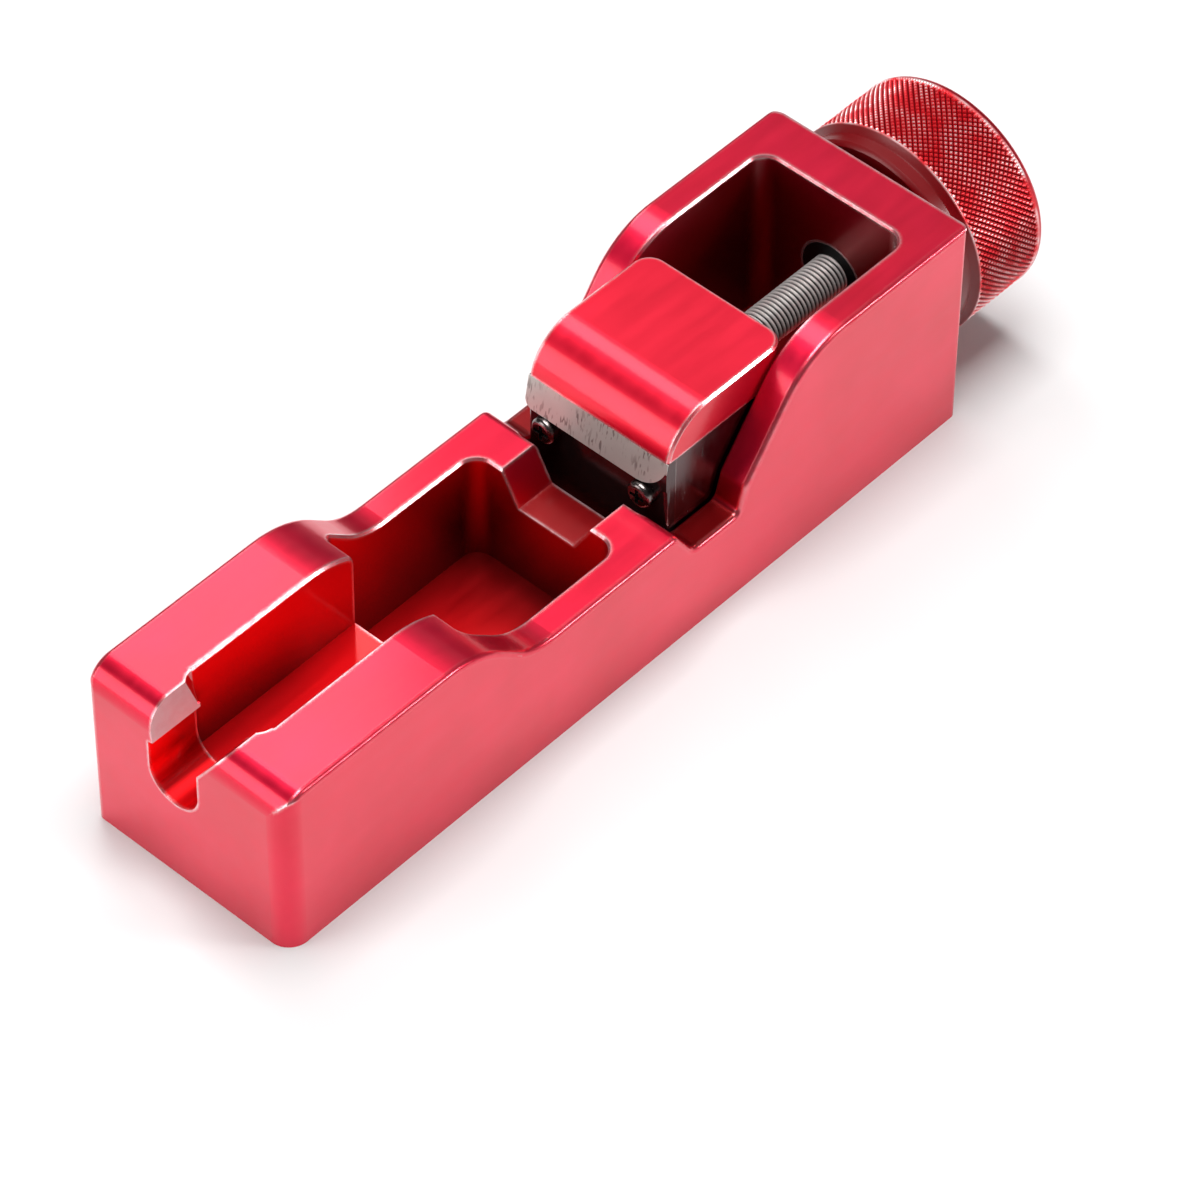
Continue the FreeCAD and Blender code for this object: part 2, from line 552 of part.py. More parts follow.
def make_anvil_screws():
    """Two cross-recessed pan head screws that hold the anvil plate."""
    body = new_body("anvil_screw")
    end = "plate_screw_head_height + plate_screw_length"
    shape = turned(body, [("0", "0"), ("0", "plate_screw_head_radius"),
                          ("plate_screw_head_height", "plate_screw_head_radius"),
                          ("plate_screw_head_height", "plate_screw_radius"), (end, "plate_screw_radius"),
                          (end, "0")], "anvil_screw_section")

    def front_rim(edge):
        box = edge.BoundBox
        return close(box.XMin, 0) and close(box.XLength, 0)

    dressed(body, shape, "Fillet", "anvil_screw_dome", front_rim, "plate_screw_head_round")
    recess = sketch_on(body, "anvil_screw_cross", "YZ_Plane", "cross_depth")
    short, long = "cross_half_width", "cross_half_length"
    quarter = [(long, short), (short, short), (short, long)]
    corners = []
    for turn in range(4):
        signs = [("", ""), ("- ", ""), ("- ", "- "), ("", "- ")][turn]
        points = quarter if turn % 2 == 0 else quarter[::-1]
        corners += [(signs[0] + across, signs[1] + up) for across, up in points]
    chain(recess, corners)
    pocket(body, recess)
    bind(body, Placement__Base__x="plate_screw_head_x", Placement__Base__y="plate_screw_y",
         Placement__Base__z="plate_screw_z")
    mirrored_pair("anvil_screws", body)


def make_cap_fixings():
    """Two socket head screws and two dowels between the carriage and the cap."""
    screw = socket_screw("cap_screw", "cap_screw_head_radius", "cap_screw_head_height", "cap_screw_radius",
                         "cap_screw_length", "cap_socket_width", "cap_socket_depth")
    bind(screw, Placement__Base__x="cap_screw_x", Placement__Base__y="cap_fixing_y",
         Placement__Base__z="cap_screw_low_z")
    mirrored_pair("cap_screws", screw)
    dowel = cylinder("cap_dowel", "dowel_radius", "dowel_length")
    bind(dowel, Placement__Base__x="dowel_x", Placement__Base__y="cap_fixing_y",
         Placement__Base__z="dowel_low_z")
    mirrored_pair("cap_dowels", dowel)


# ---------------------------------------------------------------- feed screw and knob

def make_feed_screw():
    """The fine-thread feed screw: a grooved journal, the thread and a keyed tail."""
    body = new_body("feed_screw")
    turned(body, [("screw_tip_x", "0"), ("screw_tip_x", "journal_radius - tip_chamfer"),
                  ("screw_tip_x + tip_chamfer", "journal_radius"), ("groove_front_x", "journal_radius"),
                  ("groove_front_x", "groove_radius"), ("groove_rear_x", "groove_radius"),
                  ("groove_rear_x", "journal_radius"), ("thread_start_x", "journal_radius"),
                  ("thread_start_x", "thread_radius"), ("thread_end_x", "thread_radius"),
                  ("thread_end_x", "tail_radius"), ("tail_end_x", "tail_radius"),
                  ("tail_end_x", "tail_hole_radius"), ("tail_hole_x", "tail_hole_radius"),
                  ("tail_hole_x", "0")], "feed_screw_section")
    keyway = sketch_on(body, "screw_keyway", "XY_Plane", "key_low")
    rectangle(keyway, "key_start_x", "key_start_x + key_length", "- key_half_width", "key_half_width")
    pocket(body, keyway, forward=True)
    placed(body, "feed_axis_z")


def make_thrust_parts():
    """The washers and the clip that hold the feed screw's journal in the carriage."""
    ring("rear_thrust_washer", "jaw_rear_x", "rear_washer_thickness", "washer_bore_radius",
         "rear_washer_radius")
    ring("front_thrust_washer", "front_washer_x", "front_washer_thickness", "washer_bore_radius",
         "front_washer_radius")
    ring("wave_washer", "wave_washer_x", "wave_washer_thickness", "washer_bore_radius", "wave_washer_radius")
    body = new_body("retaining_clip")
    plan = sketch_on(body, "clip_plan", "YZ_Plane", "clip_x")
    circle(plan, "0", "0", "clip_radius")
    circle(plan, "0", "0", "clip_bore_radius")
    pad(body, plan, "clip_thickness")
    mouth = sketch_on(body, "clip_mouth", "YZ_Plane", "clip_x + 1")
    rectangle(mouth, "- clip_gap_half", "clip_gap_half", "- clip_radius - 1", "0")
    pocket(body, mouth)
    placed(body, "feed_axis_z")


def make_knob():
    """The knob with a plain shoulder, the band that is knurled, and a recess at each end."""
    body = new_body("knob")
    shape = turned(body, [("knob_front_x", "knob_front_recess_radius"),
                          ("knob_front_x", "knob_shoulder_radius - knob_front_chamfer"),
                          ("knob_front_x + knob_front_chamfer", "knob_shoulder_radius"),
                          ("knob_shoulder_end_x", "knob_shoulder_radius"), ("knurl_start_x", "knob_radius"),
                          ("knob_rear_x", "knob_radius"), ("knob_rear_x", "knob_rear_recess_radius"),
                          ("knob_rear_recess_x", "knob_rear_recess_radius"),
                          ("knob_rear_recess_x", "hub_radius"),
                          ("knob_front_recess_x", "hub_radius"),
                          ("knob_front_recess_x", "knob_front_recess_radius")], "knob_section")

    def rear_rim(edge):
        box = edge.BoundBox
        return close(box.XMin, number("knob_rear_x")) and close(box.ZMax, number("knob_radius"))

    dressed(body, shape, "Fillet", "knob_rear_round", rear_rim, "knob_round")
    placed(body, "feed_axis_z")


def make_hub():
    """The brass hub pressed into the knob, with the key that drives the feed screw."""
    body = new_body("knob_hub")
    turned(body, [("thread_end_x", "hub_bore_radius"), ("knob_rear_recess_x", "hub_bore_radius"),
                  ("knob_rear_recess_x", "hub_radius"), ("thread_end_x", "hub_radius")], "hub_section")
    keyway = sketch_on(body, "hub_keyway", "XZ_Plane", "- key_half_width")
    rectangle(keyway, "key_start_x", "key_start_x + key_length", "0", "key_high")
    pocket(body, keyway, "key_half_width + key_half_width", forward=True)
    placed(body, "feed_axis_z")
    key = doc.addObject("Part::Box", "drive_key")
    bind(key, Length="key_length", Width="key_half_width + key_half_width", Height="key_high - key_low",
         Placement__Base__x="key_start_x - body_half_length", Placement__Base__y="- key_half_width",
         Placement__Base__z="feed_axis_z + key_low")
    nodes.append(key)


def make_end_fixing():
    """The washer and the socket head screw that clamp the hub on the feed screw's tail."""
    ring("knob_washer", "knob_rear_recess_x", "end_washer_thickness", "end_washer_bore_radius",
         "end_washer_radius")
    screw = socket_screw("knob_screw", "end_screw_head_radius", "end_screw_head_height", "tail_hole_radius",
                         "end_screw_length", "end_socket_width", "end_socket_depth")
    screw.Placement = FreeCAD.Placement(V(0, 0, 0), FreeCAD.Rotation(V(0, 1, 0), -90))
    head = "knob_rear_recess_x + end_washer_thickness + end_screw_head_height"
    bind(screw, Placement__Base__x=f"{head} - body_half_length", Placement__Base__z="feed_axis_z")
    nodes.append(screw)


make_body()
make_bushing()
make_brake()
make_carriage()
make_cap()
make_anvil_plate()
make_anvil_screws()
make_cap_fixings()
make_feed_screw()
make_thrust_parts()
make_knob()
make_hub()
make_end_fixing()
doc.recompute()

for item in doc.Objects:
    if "Invalid" in item.State or "Error" in item.State:
        raise RuntimeError(f"{item.Name} failed: {item.State}")
for node in nodes:
    if node.Shape.isNull() or not node.Shape.isValid():
        raise RuntimeError(f"{node.Label} has no valid shape")

os.makedirs("parts", exist_ok=True)
for node in nodes:
    node.Shape.exportStep(f"parts/{node.Label}.step")
    print(f"{node.Label:22s} solids {len(node.Shape.Solids)}  volume {node.Shape.Volume:9.1f}")
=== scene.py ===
import json
import math

import bpy
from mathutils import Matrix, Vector


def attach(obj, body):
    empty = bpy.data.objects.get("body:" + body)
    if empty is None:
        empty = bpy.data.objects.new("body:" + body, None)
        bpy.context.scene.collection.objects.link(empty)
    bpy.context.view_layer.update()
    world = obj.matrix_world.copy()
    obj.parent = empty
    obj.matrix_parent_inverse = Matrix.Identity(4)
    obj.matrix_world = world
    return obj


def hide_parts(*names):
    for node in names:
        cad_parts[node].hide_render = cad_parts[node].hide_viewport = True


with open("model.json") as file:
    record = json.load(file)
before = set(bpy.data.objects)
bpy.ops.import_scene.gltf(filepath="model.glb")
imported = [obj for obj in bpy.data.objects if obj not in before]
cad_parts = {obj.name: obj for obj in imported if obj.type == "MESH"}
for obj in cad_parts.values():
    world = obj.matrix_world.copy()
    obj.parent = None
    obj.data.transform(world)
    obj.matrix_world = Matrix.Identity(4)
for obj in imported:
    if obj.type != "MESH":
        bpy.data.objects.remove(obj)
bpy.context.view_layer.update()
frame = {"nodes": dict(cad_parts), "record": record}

MM = 0.001
AXIS_Z = 20.8 * MM       # height of the feed axis
FRONT = -65.9 * MM       # the body's front face, from which stations along X are counted


# ---------------------------------------------------------------- meshes about the feed axis

def station(x_mm):
    """X of a place given in mm behind the body's front face."""
    return FRONT + x_mm * MM


def ring_point(x, radius, angle):
    return (x, radius * math.cos(angle), AXIS_Z + radius * math.sin(angle))


def ring(x_mm, radii_mm):
    """Points once round the feed axis at a station, one for each radius."""
    return [ring_point(station(x_mm), radius * MM, 2 * math.pi * k / len(radii_mm))
            for k, radius in enumerate(radii_mm)]


def mesh_object(name, points, faces, flat_from=None):
    """A mesh with smooth faces, sharp where it folds; faces numbered in flat_from stay flat."""
    mesh = bpy.data.meshes.new(name)
    mesh.from_pydata(points, [], faces)
    mesh.validate()
    mesh.shade_smooth()
    mesh.set_sharp_from_angle(angle=math.radians(28))
    if flat_from:
        flags = [not (flat_from[0] <= i < flat_from[1]) for i in range(len(mesh.polygons))]
        mesh.polygons.foreach_set("use_smooth", flags)
    mesh.update()
    obj = bpy.data.objects.new(name, mesh)
    bpy.context.scene.collection.objects.link(obj)
    return obj


def lathe_faces(first, rows, columns):
    """Quads between neighbouring rows of a closed ring grid, the first row starting at point 'first'."""
    faces = []
    for row in range(rows - 1):
        for column in range(columns):
            a = first + row * columns + column
            b = first + row * columns + (column + 1) % columns
            faces.append((a, b, b + columns, a + columns))
    return faces


# ---------------------------------------------------------------- knob

KNOB_RADIUS = 16.75      # mm, over the knurl
KNURL_ROUND = 105        # diamonds round the knob
KNURL_ALONG = 12         # diamonds along it
KNURL_STEPS = 4          # mesh steps across one diamond, each way
KNURL_DEPTH = 0.42       # mm
KNURL_FIRST, KNURL_LAST = 136.35, 148.75      # stations where the knurl starts and ends, mm
KNOB_CLIP = 1.3          # above 1, the diamonds lose their points


def knurl_height(along, around):
    """0 in the two crossing grooves, 1 on the clipped top of a diamond."""
    def ridge(t):
        return 2 * min(t % 1, 1 - t % 1)

    return min(1.0, KNOB_CLIP * min(ridge(along + around), ridge(along - around)))


def make_knob():
    """A turned knob: plain shoulder, knurled band, rounded rear rim, and a recess round the hub."""
    columns = KNURL_ROUND * KNURL_STEPS
    rows = KNURL_ALONG * KNURL_STEPS
    front = [(135.2, 6.0), (135.2, 8.5), (133.0, 8.5), (133.0, 15.1), (133.18, 15.42), (133.6, 15.7),
             (135.3, 15.7), (135.55, 15.85), (136.1, 16.6), (136.25, KNOB_RADIUS)]
    rim = [(148.8 + 1.2 * math.sin(turn), 15.55 + 1.2 * math.cos(turn))
           for turn in (math.radians(15 * k) for k in range(7))]
    rear = rim + [(150.0, 8.4), (149.85, 8.05), (149.6, 8.0), (145.6, 8.0), (145.6, 6.0), (135.2, 6.0)]
    points, faces = [], []
    for x, radius in front:
        points += ring(x, [radius] * columns)
    for row in range(rows + 1):
        x = KNURL_FIRST + (KNURL_LAST - KNURL_FIRST) * row / rows
        fade = min(1.0, row / 2, (rows - row) / 2)
        heights = [knurl_height(row / KNURL_STEPS, k / KNURL_STEPS) for k in range(columns)]
        points += ring(x, [KNOB_RADIUS - (1 - height) * KNURL_DEPTH * fade for height in heights])
    for x, radius in rear:
        points += ring(x, [radius] * columns)

    start = len(front) * columns
    faces += lathe_faces(0, len(front) + 1, columns)
    flat_first = len(faces)
    for row in range(rows):
        for k in range(columns):
            a = start + row * columns + k
            b = start + row * columns + (k + 1) % columns
            c, d = b + columns, a + columns
            if (row + k) % 2 == 0:
                faces += [(a, b, c), (a, c, d)]
            else:
                faces += [(a, b, d), (b, c, d)]
    flat_last = len(faces)
    faces += lathe_faces(start + rows * columns, len(rear) + 1, columns)
    return mesh_object("knurled_knob", points, faces, (flat_first, flat_last))


# ---------------------------------------------------------------- feed screw

def make_screw():
    """The grooved journal, the fine right-hand thread and the tail with its blind hole."""
    columns = 48
    pitch, crest, root = 0.75, 3.0, 2.56          # mm, the last two are radii
    begin, end = 101.2, 136.4                     # stations where the thread starts and ends
    points, faces = [], []

    def lathe(profile):
        first = len(points)
        for x, radius in profile:
            points.extend(ring(x, [radius] * columns))
        faces.extend(lathe_faces(first, len(profile), columns))

    lathe([(80.2, 0.01), (80.2, 2.1), (80.6, 2.5), (81.9, 2.5), (81.9, 1.9), (82.6, 1.9), (82.6, 2.5),
           (begin, 2.5), (begin, 2.62)])
    lathe([(end, 2.62), (end, 2.75), (145.1, 2.75), (145.5, 2.4), (145.5, 1.5), (137.6, 1.5),
           (137.6, 0.01)])
    shape = [(0.0, root), (0.06, root), (0.44, crest), (0.56, crest), (0.94, root)]
    stops = []
    for turn in range(-1, int((end - begin) / pitch) + 2):
        stops += [(turn + part, radius) for part, radius in shape]
    first = len(points)
    for part, radius in stops:
        for k in range(columns + 1):
            x = begin + pitch * (part + k / columns)
            held = min(max(x, begin), end)
            rise = radius if held == x else root + 0.06
            points.append(ring_point(station(held), rise * MM, 2 * math.pi * k / columns))
    for row in range(len(stops) - 1):
        for k in range(columns):
            a = first + row * (columns + 1) + k
            faces.append((a, a + 1, a + columns + 2, a + columns + 1))
    return mesh_object("threaded_feed_screw", points, faces)


# ---------------------------------------------------------------- materials

class Surface:
    """A node material with short calls for the nodes used here."""

    def __init__(self, name):
        self.material = bpy.data.materials.new(name)
        self.material.use_nodes = True
        self.tree = self.material.node_tree
        self.shader = self.tree.nodes["Principled BSDF"]
        self.place = self.node("ShaderNodeTexCoord").outputs["Object"]

    def node(self, kind, inputs=None, **settings):
        item = self.tree.nodes.new(kind)
        for key, value in settings.items():
            setattr(item, key, value)
        for key, value in (inputs or {}).items():
            if isinstance(value, bpy.types.NodeSocket):
                self.tree.links.new(value, item.inputs[key])
            else:
                item.inputs[key].default_value = value
        return item

    def set(self, **values):
        for key, value in values.items():
            socket = self.shader.inputs[key.replace("_", " ")]
            if isinstance(value, bpy.types.NodeSocket):
                self.tree.links.new(value, socket)
            else:
                socket.default_value = value

    def stretched(self, scale):
        return self.node("ShaderNodeMapping", {"Vector": self.place, "Scale": scale}).outputs[0]

    def noise(self, scale, detail=3.0, rough=0.5, vector=None):
        item = self.node("ShaderNodeTexNoise", {"Vector": vector or self.place, "Scale": scale,
                                                "Detail": detail, "Roughness": rough})
        return item.outputs["Fac"]

    def spread(self, value, low, high, to_low=0.0, to_high=1.0):
        item = self.node("ShaderNodeMapRange", {"Value": value, "From Min": low, "From Max": high,
                                                "To Min": to_low, "To Max": to_high})
        return item.outputs["Result"]

    def math(self, operation, one, other=0.0):
        return self.node("ShaderNodeMath", {0: one, 1: other}, operation=operation).outputs[0]

    def blend(self, factor, one, other):
        item = self.node("ShaderNodeMix", data_type="RGBA")
        for index, value in ((0, factor), (6, one), (7, other)):
            if isinstance(value, bpy.types.NodeSocket):
                self.tree.links.new(value, item.inputs[index])
            else:
                item.inputs[index].default_value = value if index == 0 else (*value, 1)
        return item.outputs[2]

    def bump(self, height, distance_mm, strength):
        item = self.node("ShaderNodeBump", {"Height": height, "Distance": distance_mm * MM,
                                            "Strength": strength})
        self.tree.links.new(item.outputs["Normal"], self.shader.inputs["Normal"])

    def edges(self, width_mm):
        """1 along outer edges, 0 on flats and in inner corners."""
        rounded = self.node("ShaderNodeBevel", {"Radius": width_mm * MM}, samples=4).outputs[0]
        flat = self.node("ShaderNodeNewGeometry").outputs["True Normal"]
        both = self.node("ShaderNodeVectorMath", {0: rounded, 1: flat}, operation="DOT_PRODUCT")
        open_side = self.node("ShaderNodeAmbientOcclusion", {"Distance": 3 * width_mm * MM}, samples=4)
        bare = self.spread(open_side.outputs["AO"], 0.82, 0.97)
        return self.math("MULTIPLY", self.spread(both.outputs["Value"], 0.985, 0.92), bare)


# Painted shade colours for the hollows: pure red where lit, nearly black in the corners.
PAINTED_LIT_HOLLOW_RED = (1.0, 0.001, 0.006)
PAINTED_SHADOW_RED = (0.05, 0.0, 0.001)
MILLED_RED = (0.92, 0.02, 0.06)
# Pale pink for the edges: partly wear, partly a painted highlight.
EDGE_WEAR_AND_HIGHLIGHT_PINK = (1.0, 0.82, 0.84)
BODY_METALLIC = 0.8
# Painted shade colour for the thread's grooves.
THREAD_GROOVE_SHADE = (0.02, 0.015, 0.015)


def axes_of(look):
    return look.node("ShaderNodeSeparateXYZ", {"Vector": look.place}).outputs


def normal_of(look):
    facing = look.node("ShaderNodeNewGeometry").outputs["True Normal"]
    return look.node("ShaderNodeSeparateXYZ", {"Vector": facing}).outputs


def paint_hollow_shade(look, colour):
    """Painted shade: pure red on the lit floors of the hollows, nearly black in their corners, on walls
    towards the knob and on floors towards the jaw; high decks and open outer faces keep the colour.
    """
    reach = 30 * MM
    depth = look.node("ShaderNodeAmbientOcclusion", {"Distance": reach}, samples=8, only_local=True)
    open_share = depth.outputs["AO"]
    x, _, z = axes_of(look)
    upward = look.spread(normal_of(look)["Z"], 0.6, 0.95)
    steep = look.math("SUBTRACT", 1.0, upward)
    high = look.spread(z, 16 * MM, 19 * MM)
    floor = look.math("MULTIPLY", upward, look.spread(open_share, 0.04, 0.20))
    # Painted shadow: floors fade towards black nearer the jaw.
    floor = look.math("MULTIPLY", floor, look.spread(x, station(48), station(66), 1.0, 0.25))
    wall = look.math("MULTIPLY", steep, look.spread(open_share, 0.20, 0.52))
    # Painted shade: walls fade towards black nearer the knob.
    wall = look.math("MULTIPLY", wall, look.spread(x, station(38), station(100), 1.0, 0.3))
    hollow_shade = look.blend(look.math("MAXIMUM", wall, floor), PAINTED_SHADOW_RED, PAINTED_LIT_HOLLOW_RED)
    outside = look.math("MULTIPLY", look.spread(open_share, 0.62, 0.95), look.math("MAXIMUM", steep, high))
    deck = look.math("MULTIPLY", look.math("MULTIPLY", upward, high), 0.95)
    return look.blend(look.math("MAXIMUM", outside, deck), hollow_shade, colour)


def anodised(name, deep, bright, roughness, grain, metallic, edge_mm=0.8, relief_mm=0.005, coat=0.8,
             painted_light=None):
    """Red anodised aluminium: dyed metal under a clear oxide skin, pale along its edges, partly from wear
    and partly a painted highlight, with painted shade in its hollows.
    """
    look = Surface(name)
    cloud = look.noise(55, 3.0)
    mill = look.noise(420, 2.0, 0.6, look.stretched(grain))
    fine = look.noise(3800, 2.0)
    patchy = look.spread(look.noise(700, 2.0), 0.3, 0.55, 0.5, 1.0)
    # Pale edges: partly wear, partly a painted highlight.
    edge_wear_and_highlight = look.math("MULTIPLY", look.edges(edge_mm) if edge_mm else 0.0, patchy)
    dyed = look.blend(look.spread(cloud, 0.3, 0.7), deep, bright)
    milled = look.blend(look.math("MULTIPLY", look.spread(mill, 0.45, 0.75), 0.15), dyed, MILLED_RED)
    # Painted shade in the hollows.
    shaded = paint_hollow_shade(look, milled)
    # Further painted light for some materials: highlight, glints and groove shade.
    if painted_light:
        shaded = painted_light(look, shaded)
    rough = look.spread(mill, 0.2, 0.8, roughness - 0.05, roughness + 0.06)
    look.set(Base_Color=look.blend(look.math("MULTIPLY", edge_wear_and_highlight, 0.85), shaded, EDGE_WEAR_AND_HIGHLIGHT_PINK),
             Metallic=metallic,
             Roughness=look.math("ADD", rough, look.math("MULTIPLY", edge_wear_and_highlight, -0.12)),
             Coat_Weight=coat, Coat_Roughness=0.14, Coat_IOR=1.42)
    look.bump(look.math("ADD", mill, look.math("MULTIPLY", fine, 0.35)), relief_mm, 0.35)
    return look.material


def painted_hook_highlight(look, colour):
    """Painted highlight and reflection: the flat above the throat's lip in pale pink, and less metallic
    there.
    """
    x, y, z = axes_of(look)
    mask = look.spread(x, station(8.8), station(8.5))
    for share in (look.spread(y, 4.9 * MM, 5.2 * MM), look.spread(z, 22.7 * MM, 22.9 * MM),
                  look.spread(normal_of(look)["Y"], -0.92, -0.98)):
        mask = look.math("MULTIPLY", mask, share)
    look.set(Metallic=look.spread(mask, 0.0, 1.0, BODY_METALLIC, 0.15))
    # Painted highlight: pale pink standing in for the red slot's reflection.
    painted_highlight = look.blend(look.noise(900, 3.0), (0.92, 0.56, 0.60), (1.0, 0.80, 0.82))
    return look.blend(mask, colour, painted_highlight)


def groove_share(look, low_mm, high_mm):
    """0 at the low radius from the feed axis, 1 at the high one."""
    _, y, z = axes_of(look)
    up = look.math("SUBTRACT", z, AXIS_Z)
    square = look.math("ADD", look.math("MULTIPLY", y, y), look.math("MULTIPLY", up, up))
    return look.spread(look.math("SQRT", square), low_mm * MM, high_mm * MM)


def knurl_shade_and_glints(look, colour):
    """Painted shade in the grooves of the knurled band and on the shoulder in front of it, which is deep
    red; near-white tips in patches, partly wear and partly painted glints.
    """
    x = axes_of(look)[0]
    past_shoulder = look.spread(x, station(136.1), station(136.4))
    past_band = look.spread(x, station(148.7), station(149.0))
    band = look.math("SUBTRACT", past_shoulder, past_band)
    # Painted shade: the plain shoulder is darkened to deep red.
    plain = look.blend(look.math("MAXIMUM", past_shoulder, 0.1), (0.13, 0.0, 0.001), colour)
    # Painted shade in the knurl's grooves.
    knurl = look.blend(groove_share(look, 16.33, 16.66), (0.10, 0.0, 0.002), (1.0, 0.010, 0.025))
    # Near-white tips in patches: partly wear, partly painted glints.
    patchy = look.spread(look.noise(300, 2.0), 0.38, 0.62, 0.05, 0.9)
    painted_highlight = look.math("MULTIPLY", groove_share(look, 16.54, 16.70), patchy)
    look.set(Metallic=look.math("ADD", look.spread(past_shoulder, 0.0, 1.0, 0.05, 0.55),
                                look.math("MULTIPLY", past_band, 0.25)))
    return look.blend(band, plain, look.blend(painted_highlight, knurl, (1.0, 0.93, 0.93)))


def thread_groove_shade(look, colour):
    """Painted shade: black between the crests of the thread."""
    return look.blend(groove_share(look, 2.66, 2.90), THREAD_GROOVE_SHADE, colour)


def steel(name, dark, light, roughness, grain, metallic=1.0, painted_light=None):
    """Ground or rolled steel with a directional grain and stains."""
    look = Surface(name)
    stain = look.noise(160, 4.0)
    lines = look.noise(900, 3.0, 0.65, look.stretched(grain))
    edge_wear_and_highlight = look.edges(0.2)
    half_stain = look.math("MULTIPLY", stain, 0.5)
    half_lines = look.math("MULTIPLY", lines, 0.5)
    mixed = look.blend(look.math("ADD", half_stain, half_lines), dark, light)
    if painted_light:
        mixed = painted_light(look, mixed)
    look.set(Base_Color=look.blend(look.math("MULTIPLY", edge_wear_and_highlight, 0.5), mixed, (0.9, 0.88, 0.86)),
             Metallic=metallic,
             Roughness=look.spread(lines, 0.25, 0.75, roughness - 0.08, roughness + 0.10),
             Anisotropic=0.3)
    look.bump(lines, 0.02, 0.4)
    return look.material


def anvil_steel():
    """Bright scratched lip above a polished face painted near black, a painted shade under the lip."""
    look = Surface("anvil_steel")
    x, y, z = axes_of(look)
    lean = look.spread(z, 22.5 * MM, 27.6 * MM, station(76.32), station(77.22))
    lip = look.math("MULTIPLY", look.math("LESS_THAN", x, lean), look.math("GREATER_THAN", z, 22.45 * MM))
    stain = look.noise(220, 4.0)
    lines = look.noise(1300, 2.0, 0.6, look.stretched((1, 1, 0.1)))
    patches = look.spread(look.noise(260, 1.0), 0.42, 0.60)
    marks = look.spread(look.noise(2600, 1.0, 0.5, look.stretched((1, 1, 0.16))), 0.56, 0.62)
    bright = look.blend(look.math("MULTIPLY", look.math("MULTIPLY", marks, patches), 0.8),
                        look.blend(stain, (0.50, 0.55, 0.51), (0.64, 0.70, 0.66)), (0.16, 0.15, 0.14))
    # Painted shade: the face below the lip is near black.
    dark = look.blend(stain, (0.05, 0.035, 0.035), (0.14, 0.11, 0.11))
    look.set(Base_Color=look.blend(lip, dark, bright), Metallic=look.spread(lip, 0.0, 1.0, 0.9, 0.45),
             Roughness=look.blend(lip, (0.16, 0.16, 0.16), (0.42, 0.42, 0.42)))
    look.bump(lines, 0.03, 0.45)
    return look.material


def nylon():
    """Ivory moulded plastic for the brake pad."""
    look = Surface("brake_nylon")
    cloud = look.noise(500, 3.0)
    look.set(Base_Color=look.blend(cloud, (0.70, 0.67, 0.58), (0.84, 0.82, 0.75)), Metallic=0.0,
             Roughness=look.spread(cloud, 0.3, 0.7, 0.42, 0.58), Subsurface_Weight=0.15)
    look.bump(look.noise(2600, 2.0), 0.03, 0.5)
    return look.material


MATERIALS = {
    "body_red": anodised("body_red", (0.74, 0.004, 0.034), (0.88, 0.007, 0.056), 0.34, (0.15, 1.0, 1.0),
                         metallic=BODY_METALLIC, painted_light=painted_hook_highlight),
    "cap_red": anodised("cap_red", (0.84, 0.004, 0.030), (0.98, 0.008, 0.044), 0.34, (0.15, 1.0, 1.0),
                        metallic=0.7, edge_mm=0.6, relief_mm=0.002),
    "knob_red": anodised("knob_red", (0.50, 0.004, 0.014), (0.66, 0.006, 0.024), 0.35, (1.0, 0.3, 0.3),
                         metallic=0.55, edge_mm=0, coat=0.15, painted_light=knurl_shade_and_glints),
    "carriage_steel": steel("carriage_steel", (0.07, 0.05, 0.05), (0.17, 0.13, 0.13), 0.20,
                            (1.0, 1.0, 0.2)),
    "anvil_steel": anvil_steel(),
    "pan_screw_steel": steel("pan_screw_steel", (0.12, 0.09, 0.09), (0.34, 0.30, 0.29), 0.24,
                             (1.0, 1.0, 1.0)),
    "black_steel": steel("black_steel", (0.012, 0.012, 0.014), (0.035, 0.034, 0.036), 0.42,
                         (1.0, 1.0, 1.0)),
    "plain_steel": steel("plain_steel", (0.34, 0.33, 0.32), (0.54, 0.53, 0.52), 0.34, (1.0, 0.2, 1.0)),
    "spring_steel": steel("spring_steel", (0.10, 0.10, 0.11), (0.24, 0.23, 0.23), 0.30, (1.0, 1.0, 0.2)),
    "screw_steel": steel("screw_steel", (0.86, 0.84, 0.82), (1.0, 0.98, 0.96), 0.34, (0.3, 1.0, 1.0),
                         metallic=0.55, painted_light=thread_groove_shade),
    "bushing_brass": steel("bushing_brass", (0.42, 0.27, 0.09), (0.66, 0.47, 0.19), 0.30, (1.0, 0.3, 0.3)),
    "brake_nylon": nylon(),
}


def dress_frame():
    """Give every carried-over CAD node the material of its slot."""
    for part in frame["record"]["subparts"]:
        data = frame["nodes"][part["node"]].data
        data.materials.clear()
        data.materials.append(MATERIALS[part["material_slot"]])


def add_piece(obj, node, slot):
    """A finer piece in place of a CAD node, on the same moving body."""
    obj.data.materials.append(MATERIALS[slot])
    body = next(name for name, nodes in frame["record"]["behaviour"]["bodies"].items() if node in nodes)
    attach(obj, body)
    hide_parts(node)


# ---------------------------------------------------------------- studio

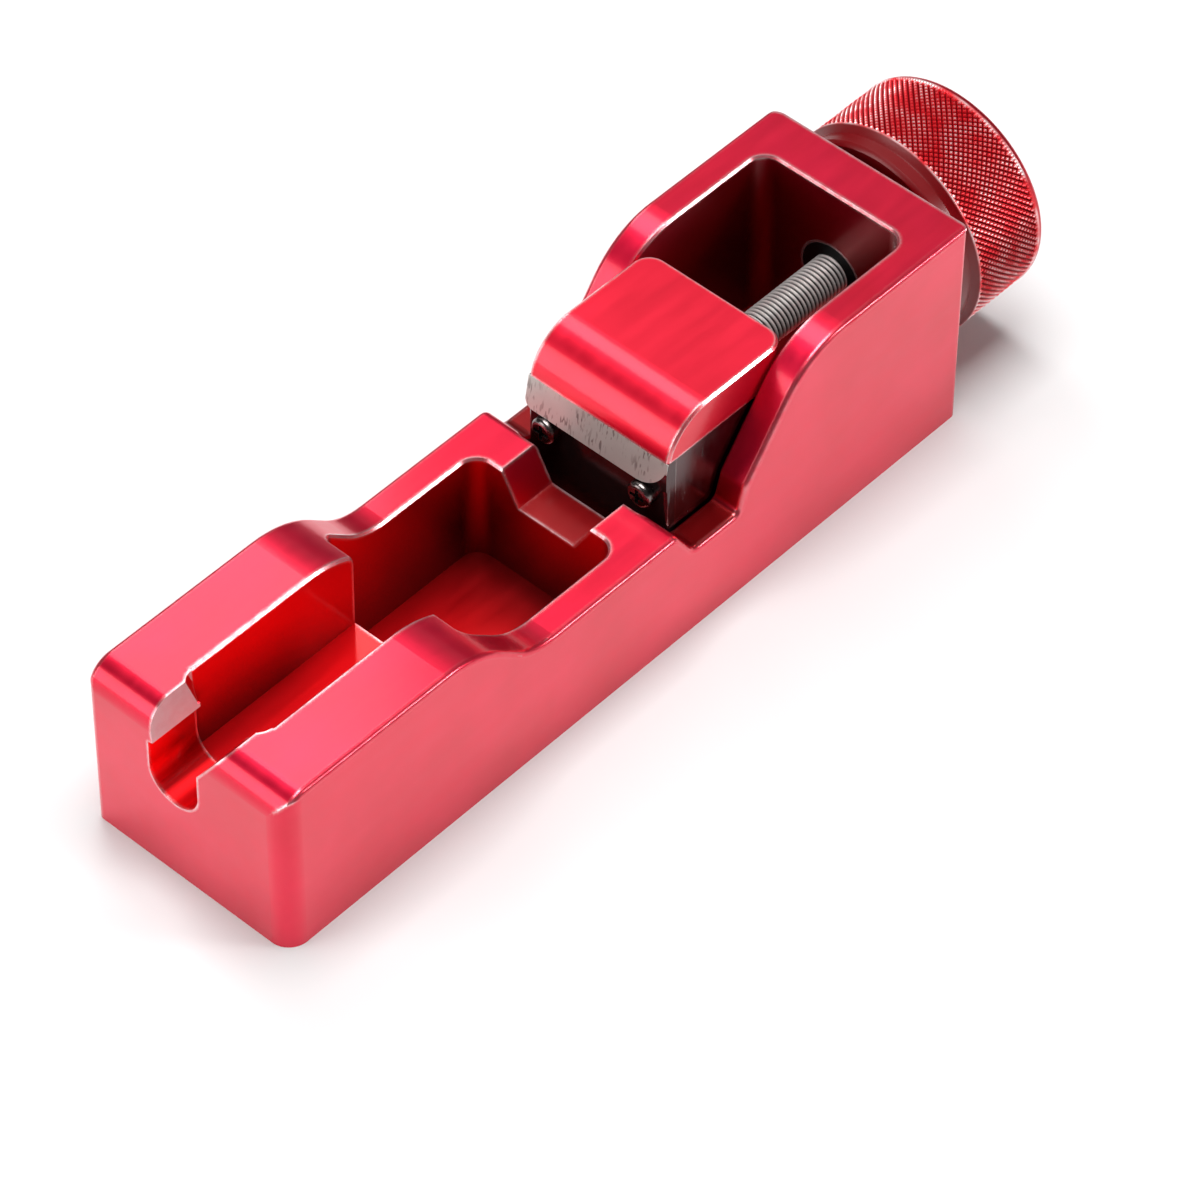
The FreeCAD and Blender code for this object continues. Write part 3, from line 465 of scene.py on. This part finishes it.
def softbox(name, position, target, width, height, watts):
    """A white area light at a position, aimed at a target."""
    data = bpy.data.lights.new(name, "AREA")
    data.shape = "RECTANGLE"
    data.size, data.size_y = width, height
    data.energy = watts
    obj = bpy.data.objects.new(name, data)
    obj.location = position
    obj.rotation_euler = (Vector(target) - Vector(position)).to_track_quat("-Z", "Y").to_euler()
    bpy.context.scene.collection.objects.link(obj)


def make_studio():
    """A pale floor, a faint world and five lights."""
    mesh = bpy.data.meshes.new("floor")
    mesh.from_pydata([(-3, -3, 0), (3, -3, 0), (3, 3, 0), (-3, 3, 0)], [], [(0, 1, 2, 3)])
    floor = bpy.data.objects.new("floor", mesh)
    bpy.context.scene.collection.objects.link(floor)
    look = Surface("floor_white")
    look.set(Base_Color=(0.83, 0.83, 0.83, 1), Roughness=0.7, Specular_IOR_Level=0.2)
    mesh.materials.append(look.material)
    world = bpy.data.worlds.new("studio")
    world.use_nodes = True
    world.node_tree.nodes["Background"].inputs["Color"].default_value = (0.9, 0.9, 0.92, 1)
    world.node_tree.nodes["Background"].inputs["Strength"].default_value = 0.06
    bpy.context.scene.world = world
    softbox("top", (0.0, 0.0, 1.1), (0, 0, 0), 0.6, 0.6, 12)
    softbox("back", (0.118, 0.24, 0.40), (-0.06, 0.0, 0.02), 0.15, 0.32, 0.52)
    softbox("rear", (0.32, 0.23, 0.385), (0.04, 0.0, 0.03), 0.20, 0.34, 0.05)
    softbox("left", (-0.70, 0.39, 0.31), (0, 0, 0.02), 0.40, 0.56, 2.2)
    softbox("right", (0.52, -0.74, 0.46), (0, 0, 0.02), 0.22, 0.09, 2.4)


def make_camera():
    """The photo's camera, fitted to the block's edges, its deck heights and the knob's circles."""
    data = bpy.data.cameras.new("camera")
    data.lens = 180.44
    data.sensor_width = 36
    data.clip_start, data.clip_end = 0.05, 10
    obj = bpy.data.objects.new("camera", data)
    obj.location = (-0.40215, -0.37027, 0.59380)
    obj.rotation_euler = (math.radians(42.7051), math.radians(-0.4831), math.radians(-47.6835))
    bpy.context.scene.collection.objects.link(obj)
    bpy.context.scene.camera = obj


dress_frame()
add_piece(make_knob(), "knob", "knob_red")
add_piece(make_screw(), "feed_screw", "screw_steel")
make_studio()
make_camera()
bpy.context.scene.view_settings.view_transform = "Standard"
